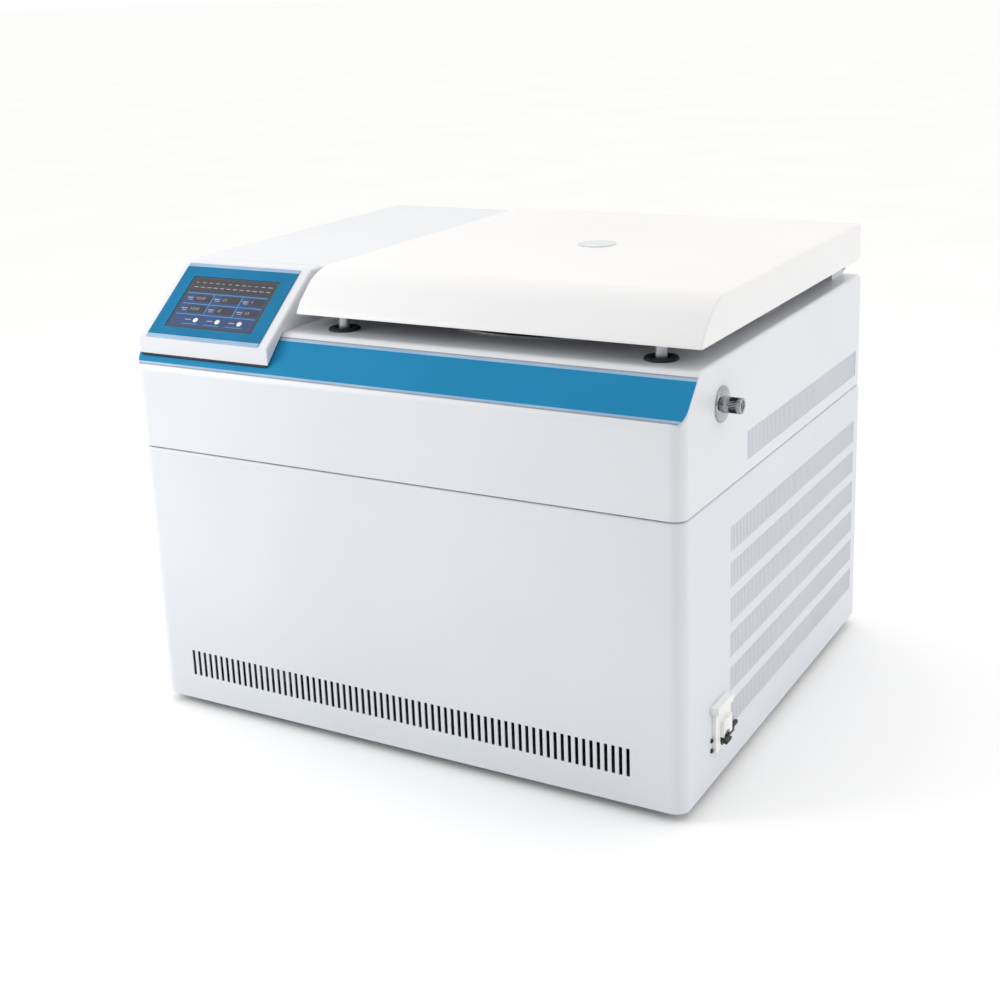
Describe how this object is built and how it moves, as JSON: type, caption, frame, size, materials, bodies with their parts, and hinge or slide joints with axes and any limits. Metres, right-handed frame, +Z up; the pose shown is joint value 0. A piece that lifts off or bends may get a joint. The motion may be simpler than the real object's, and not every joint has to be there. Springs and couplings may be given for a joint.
{
  "type": "laboratory centrifuge",
  "caption": "Benchtop refrigerated centrifuge: white cabinet, blue fascia strip, sloped touch screen, hinged lid with sight port and swing-out rotor.",
  "frame": {"origin": "centre of the whole box at floor level, under the cabinet", "axes": "+X to the right seen from the front, along the width; +Y to the back; +Z up"},
  "size_m": [0.671, 0.555, 0.506],
  "materials": {
    "casing_white": "moulded white, satin",
    "sheet_white": "powder-coated white",
    "fascia_blue": "printed blue film, satin",
    "screen_glass": "dark touch glass, glossy",
    "rubber_black": "moulded",
    "stainless": "brushed",
    "steel_zinc": "zinc plated",
    "spring_steel": "oiled",
    "chrome": "polished",
    "plug_steel": "machined",
    "pin_grey": "grey painted",
    "hinge_white": "powder coated",
    "foam": "closed-cell foam",
    "copper": "bare copper tube",
    "motor_paint": "dark paint",
    "rotor_aluminium": "anodised",
    "fin_aluminium": "plain fins",
    "black_plastic": "moulded",
    "board_green": "solder mask",
    "breaker_white": "moulded",
    "spout_grey": "moulded",
    "port_clear": "clear acrylic"
  },
  "bodies": {
    "cabinet": {"base_plate": "steel_zinc", "rubber_feet": "rubber_black", "lower_casing": "sheet_white", "side_grilles": "sheet_white", "rear_panel": "sheet_white", "casing_screws": "steel_zinc", "upper_casing": "casing_white", "fascia_strip": "fascia_blue", "display_pod": "casing_white", "display_bezel": "fascia_blue", "touch_screen": "screen_glass", "control_board": "board_green", "drive_inverter": "fin_aluminium", "power_supply": "steel_zinc", "power_inlet": "black_plastic", "drain_spout": "spout_grey", "chamber_bowl": "stainless", "chamber_gasket": "rubber_black", "chamber_insulation": "foam", "evaporator_coil": "copper", "guard_ring": "steel_zinc", "support_posts": "steel_zinc", "motor_plate": "steel_zinc", "motor_dampers": "rubber_black", "motor_housing": "motor_paint", "motor_boot": "rubber_black", "compressor": "motor_paint", "compressor_grommets": "rubber_black", "condenser": "fin_aluminium", "fan_shroud": "black_plastic", "fan_motor": "motor_paint", "filter_drier": "copper", "refrigerant_lines": "copper", "breaker_body": "breaker_white", "breaker_hood": "breaker_white", "lock_barrel": "chrome", "latch_grommets": "rubber_black", "latch_housings": "steel_zinc", "hinge_brackets": "hinge_white", "hinge_shaft": "stainless", "lid_springs": "spring_steel"},
    "lid": {"lid_shell": "casing_white", "lid_insulation": "foam", "lid_liner": "stainless", "sight_port": "port_clear", "latch_pins": "pin_grey", "hinge_arms": "hinge_white"},
    "rotor": {"drive_shaft": "stainless", "rotor_head": "rotor_aluminium", "trunnion_pins": "stainless", "rotor_knob": "black_plastic"},
    "bucket_1": {"bucket_1": "rotor_aluminium"},
    "bucket_2": {"bucket_2": "rotor_aluminium"},
    "bucket_3": {"bucket_3": "rotor_aluminium"},
    "bucket_4": {"bucket_4": "rotor_aluminium"},
    "latch_left": {"latch_hook_left": "steel_zinc"},
    "latch_right": {"latch_hook_right": "steel_zinc"},
    "fan": {"fan_blades": "black_plastic"},
    "breaker_switch": {"breaker_toggle": "black_plastic"},
    "key_plug": {"lock_plug": "plug_steel"}
  },
  "joints": [
    {"name": "lid_hinge", "type": "hinge", "parent": "cabinet", "child": "lid", "pos_m": [0.0845, 0.2555, 0.4535], "axis": [-1, 0, 0], "range_deg": [0, 75], "stiffness_Nm_per_rad": 4.6, "springref_deg": 137.51},
    {"name": "rotor_spin", "type": "hinge", "parent": "cabinet", "child": "rotor", "pos_m": [0.0795, 0.0365, 0.31], "axis": [0, 0, 1], "continuous": true},
    {"name": "bucket_1_swing", "type": "hinge", "parent": "rotor", "child": "bucket_1", "pos_m": [0.1715, 0.0365, 0.389], "axis": [0, -1, 0], "range_deg": [-5, 90]},
    {"name": "bucket_2_swing", "type": "hinge", "parent": "rotor", "child": "bucket_2", "pos_m": [0.0795, 0.1285, 0.389], "axis": [1, 0, 0], "range_deg": [-5, 90]},
    {"name": "bucket_3_swing", "type": "hinge", "parent": "rotor", "child": "bucket_3", "pos_m": [-0.0125, 0.0365, 0.389], "axis": [0, 1, 0], "range_deg": [-5, 90]},
    {"name": "bucket_4_swing", "type": "hinge", "parent": "rotor", "child": "bucket_4", "pos_m": [0.0795, -0.0555, 0.389], "axis": [-1, 0, 0], "range_deg": [-5, 90]},
    {"name": "latch_left_turn", "type": "hinge", "parent": "cabinet", "child": "latch_left", "pos_m": [-0.0885, -0.2025, 0.403], "axis": [0, -1, 0], "range_deg": [0, 12]},
    {"name": "latch_right_turn", "type": "hinge", "parent": "cabinet", "child": "latch_right", "pos_m": [0.2475, -0.2025, 0.403], "axis": [0, 1, 0], "range_deg": [0, 12]},
    {"name": "fan_spin", "type": "hinge", "parent": "cabinet", "child": "fan", "pos_m": [0.2555, 0.0525, 0.135], "axis": [1, 0, 0], "continuous": true},
    {"name": "breaker_flip", "type": "hinge", "parent": "cabinet", "child": "breaker_switch", "pos_m": [0.3155, -0.1855, 0.054], "axis": [0, -1, 0], "range_deg": [0, 35]},
    {"name": "key_turn", "type": "hinge", "parent": "cabinet", "child": "key_plug", "pos_m": [0.3245, -0.1825, 0.4], "axis": [1, 0, 0], "range_deg": [0, 90]}
  ],
  "couplings": [
    {"joint": "latch_right_turn", "follows": "latch_left_turn", "ratio": 1}
  ]
}
